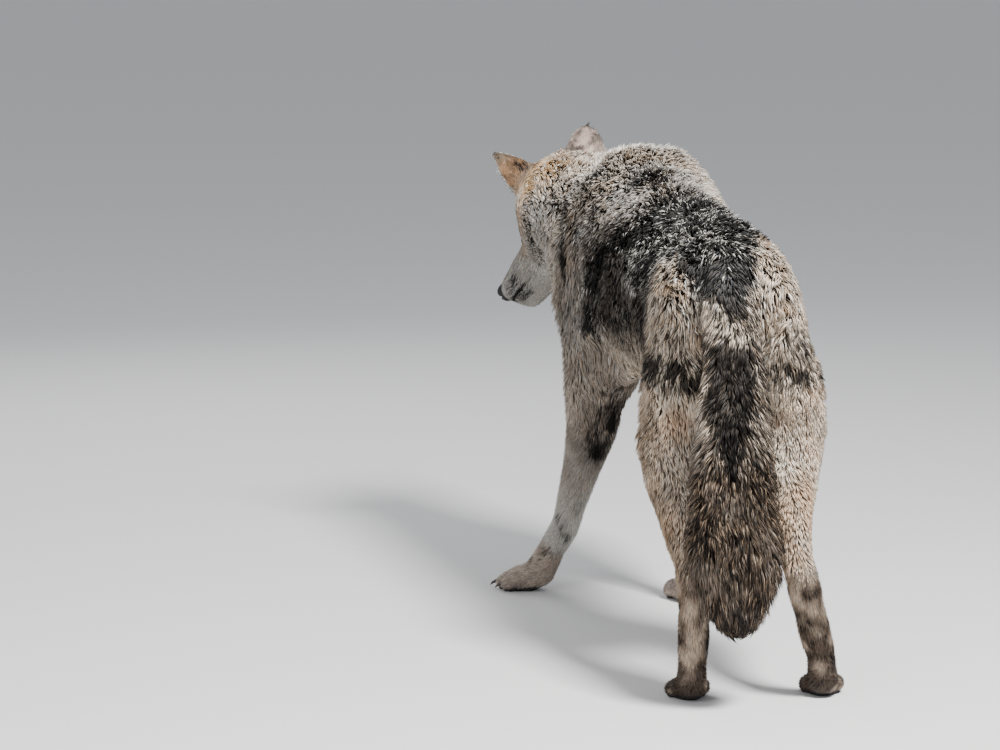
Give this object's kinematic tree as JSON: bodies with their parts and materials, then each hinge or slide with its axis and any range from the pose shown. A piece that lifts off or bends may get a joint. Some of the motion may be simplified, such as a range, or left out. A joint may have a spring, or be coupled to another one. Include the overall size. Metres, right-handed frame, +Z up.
{
  "type": "grey wolf figure",
  "caption": "Life-size grey wolf standing with its head lowered and turned to its left, left foreleg stepping out, tail hanging.",
  "frame": {"origin": "on the floor under the middle of the animal's bounding box", "axes": "+Z up, the wolf faces -Y, its left side is +X"},
  "size_m": [0.4392, 1.4472, 0.8402],
  "materials": {
    "trunk_coat": "long grizzled guard hair, matt",
    "neck_coat": "long grizzled ruff hair, matt",
    "head_coat": "short to medium hair, matt",
    "tail_coat": "long bushy hair, matt",
    "leg_coat": "short dense hair, matt",
    "ear_coat": "short velvety hair, matt",
    "nose": "moist bare skin, half gloss",
    "eye": "wet gloss",
    "claw": "horn, half gloss"
  },
  "bodies": {
    "root": {"head": "head_coat", "left_ear": "ear_coat", "left_eye": "eye", "left_fore_claw_1": "claw", "left_fore_claw_2": "claw", "left_fore_claw_3": "claw", "left_fore_claw_4": "claw", "left_fore_forearm": "leg_coat", "left_fore_pastern": "leg_coat", "left_fore_paw": "leg_coat", "left_fore_upper_arm": "leg_coat", "left_hind_claw_1": "claw", "left_hind_claw_2": "claw", "left_hind_claw_3": "claw", "left_hind_claw_4": "claw", "left_hind_hock": "leg_coat", "left_hind_paw": "leg_coat", "left_hind_shank": "leg_coat", "left_hind_thigh": "leg_coat", "neck": "neck_coat", "nose": "nose", "right_ear": "ear_coat", "right_eye": "eye", "right_fore_claw_1": "claw", "right_fore_claw_2": "claw", "right_fore_claw_3": "claw", "right_fore_claw_4": "claw", "right_fore_forearm": "leg_coat", "right_fore_pastern": "leg_coat", "right_fore_paw": "leg_coat", "right_fore_upper_arm": "leg_coat", "right_hind_claw_1": "claw", "right_hind_claw_2": "claw", "right_hind_claw_3": "claw", "right_hind_claw_4": "claw", "right_hind_hock": "leg_coat", "right_hind_paw": "leg_coat", "right_hind_shank": "leg_coat", "right_hind_thigh": "leg_coat", "tail": "tail_coat", "trunk": "trunk_coat"}
  },
  "joints": []
}
